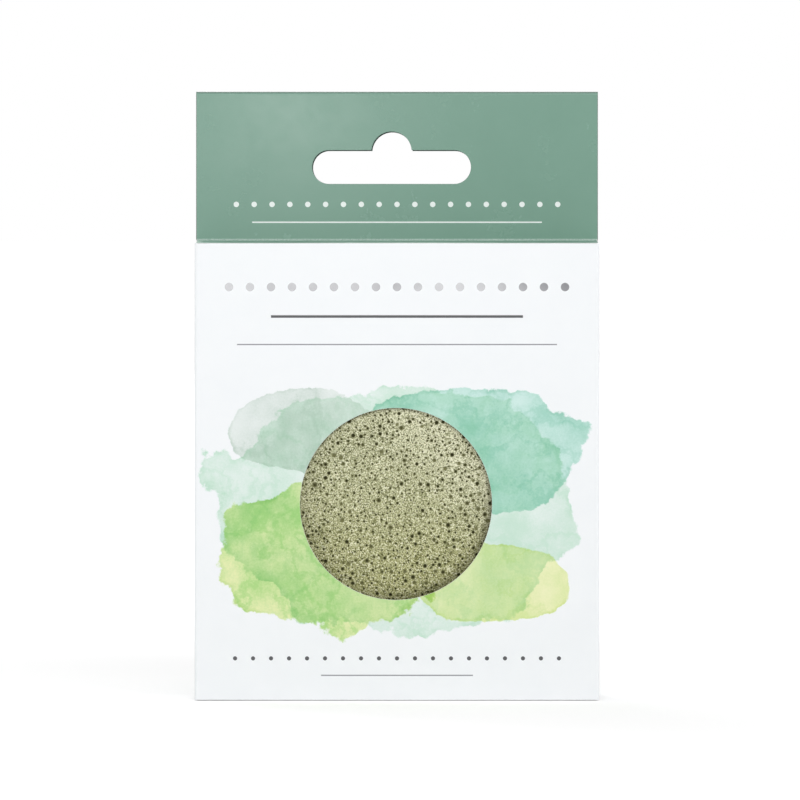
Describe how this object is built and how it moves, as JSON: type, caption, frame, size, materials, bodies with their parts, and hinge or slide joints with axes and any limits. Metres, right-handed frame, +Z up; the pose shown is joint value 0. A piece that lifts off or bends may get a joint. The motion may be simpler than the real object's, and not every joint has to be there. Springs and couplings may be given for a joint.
{
  "type": "boxed konjac sponge",
  "caption": "Round porous facial sponge in a paperboard carton with a round window, tuck-in lids and a doubled header with a hanging slot.",
  "frame": {"origin": "middle of the carton's footprint, on the surface it stands on", "axes": "+Z up, +X to the right seen from the front, front wall towards -Y"},
  "size_m": [0.081, 0.033, 0.1215],
  "materials": {
    "sponge": "matte",
    "white_board": "satin",
    "green_board": "satin",
    "raw_board": "matte",
    "glue": "satin"
  },
  "bodies": {
    "carton": {"front_panel": "white_board", "back_panel": "white_board", "left_side_panel": "white_board", "right_side_panel": "white_board", "glue_flap": "raw_board", "side_seam_glue": "glue", "header_front_ply": "green_board", "header_glue": "glue"},
    "sponge": {"konjac_sponge": "sponge"},
    "top_lid": {"top_lid": "green_board"},
    "top_tuck": {"top_tuck_flap": "green_board"},
    "top_dust_left": {"top_dust_flap_left": "white_board"},
    "top_dust_right": {"top_dust_flap_right": "white_board"},
    "bottom_lid": {"bottom_lid": "white_board"},
    "bottom_tuck": {"bottom_tuck_flap": "white_board"},
    "bottom_dust_left": {"bottom_dust_flap_left": "white_board"},
    "bottom_dust_right": {"bottom_dust_flap_right": "white_board"}
  },
  "joints": [
    {"name": "sponge_lift", "type": "slide", "parent": "carton", "child": "sponge", "axis": [0, 0, 1], "range_m": [0, 0.012]},
    {"name": "top_lid_crease", "type": "hinge", "parent": "carton", "child": "top_lid", "pos_m": [0, 0.0154, 0.0915], "axis": [-1, 0, 0], "range_deg": [0, 88]},
    {"name": "top_tuck_crease", "type": "hinge", "parent": "top_lid", "child": "top_tuck", "pos_m": [0, -0.0151, 0.091], "axis": [1, 0, 0], "range_deg": [0, 44]},
    {"name": "top_dust_left_crease", "type": "hinge", "parent": "carton", "child": "top_dust_left", "pos_m": [-0.0405, 0, 0.0909], "axis": [0, -1, 0], "range_deg": [0, 70.4]},
    {"name": "top_dust_right_crease", "type": "hinge", "parent": "carton", "child": "top_dust_right", "pos_m": [0.0405, 0, 0.0909], "axis": [0, 1, 0], "range_deg": [0, 70.4]},
    {"name": "bottom_lid_crease", "type": "hinge", "parent": "carton", "child": "bottom_lid", "pos_m": [0, 0.0165, 0], "axis": [1, 0, 0], "range_deg": [0, 110]},
    {"name": "bottom_tuck_crease", "type": "hinge", "parent": "bottom_lid", "child": "bottom_tuck", "pos_m": [0, -0.0151, 0.0005], "axis": [-1, 0, 0], "range_deg": [0, 55]},
    {"name": "bottom_dust_left_crease", "type": "hinge", "parent": "carton", "child": "bottom_dust_left", "pos_m": [-0.0405, 0, 0.0006], "axis": [0, 1, 0], "range_deg": [0, 88]},
    {"name": "bottom_dust_right_crease", "type": "hinge", "parent": "carton", "child": "bottom_dust_right", "pos_m": [0.0405, 0, 0.0006], "axis": [0, -1, 0], "range_deg": [0, 88]}
  ],
  "couplings": [
    {"joint": "top_tuck_crease", "follows": "top_lid_crease", "ratio": 0.5},
    {"joint": "top_dust_left_crease", "follows": "top_lid_crease", "ratio": 0.8},
    {"joint": "top_dust_right_crease", "follows": "top_lid_crease", "ratio": 0.8},
    {"joint": "bottom_tuck_crease", "follows": "bottom_lid_crease", "ratio": 0.5},
    {"joint": "bottom_dust_left_crease", "follows": "bottom_lid_crease", "ratio": 0.8},
    {"joint": "bottom_dust_right_crease", "follows": "bottom_lid_crease", "ratio": 0.8}
  ]
}
